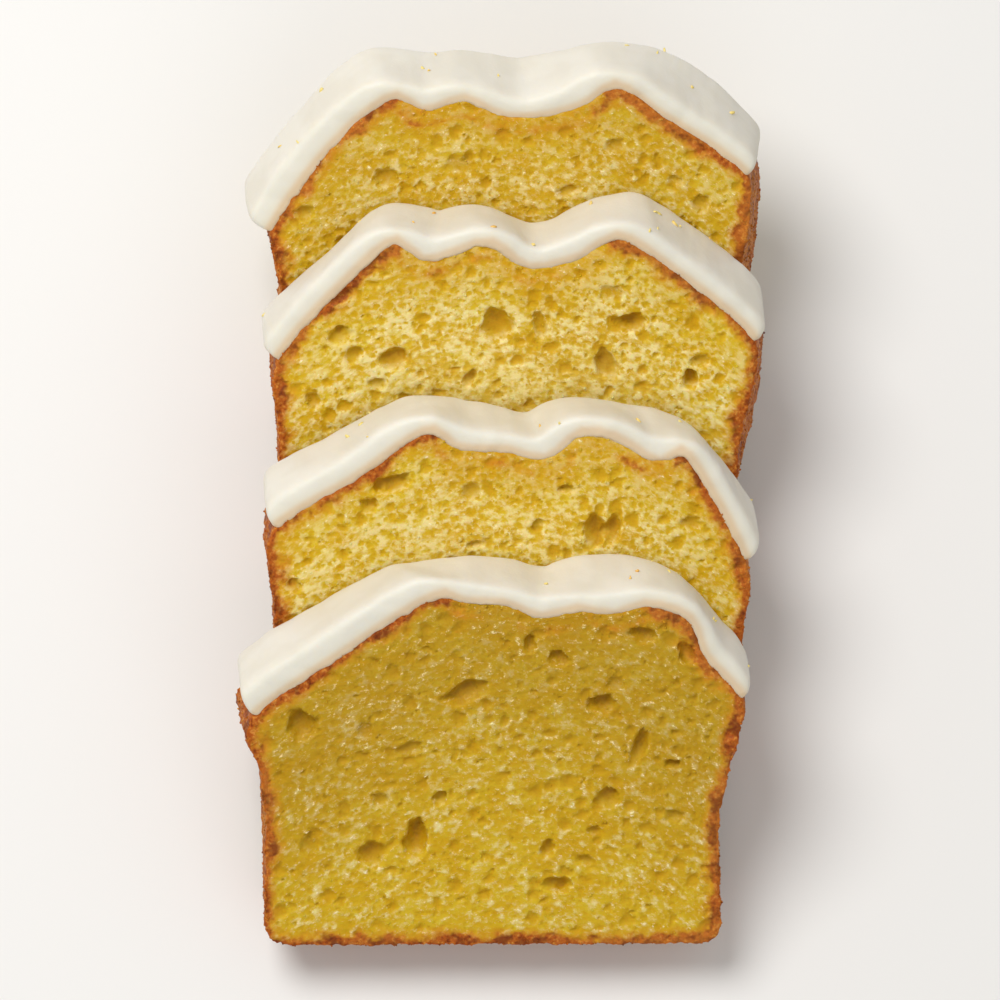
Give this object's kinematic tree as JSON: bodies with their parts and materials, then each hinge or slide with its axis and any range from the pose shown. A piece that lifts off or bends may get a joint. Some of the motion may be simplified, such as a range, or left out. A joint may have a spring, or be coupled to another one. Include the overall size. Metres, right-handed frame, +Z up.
{
  "type": "sliced loaf cake",
  "caption": "Iced slices of a golden loaf cake, browned at the crust, leaning back on one another in a row.",
  "frame": {"origin": "on the surface that the slices stand on, under the middle of the row", "axes": "+Z up, +Y along the row towards the slice that stands furthest back, +X across the slices"},
  "size_m": [0.103, 0.1698, 0.0606],
  "materials": {
    "cake": "matte open crumb with a browned crust",
    "icing": "smooth satin"
  },
  "bodies": {
    "root": {"slice_1_cake": "cake", "slice_1_icing": "icing", "slice_2_cake": "cake", "slice_2_icing": "icing", "slice_3_cake": "cake", "slice_3_icing": "icing", "slice_4_cake": "cake", "slice_4_icing": "icing"}
  },
  "joints": []
}
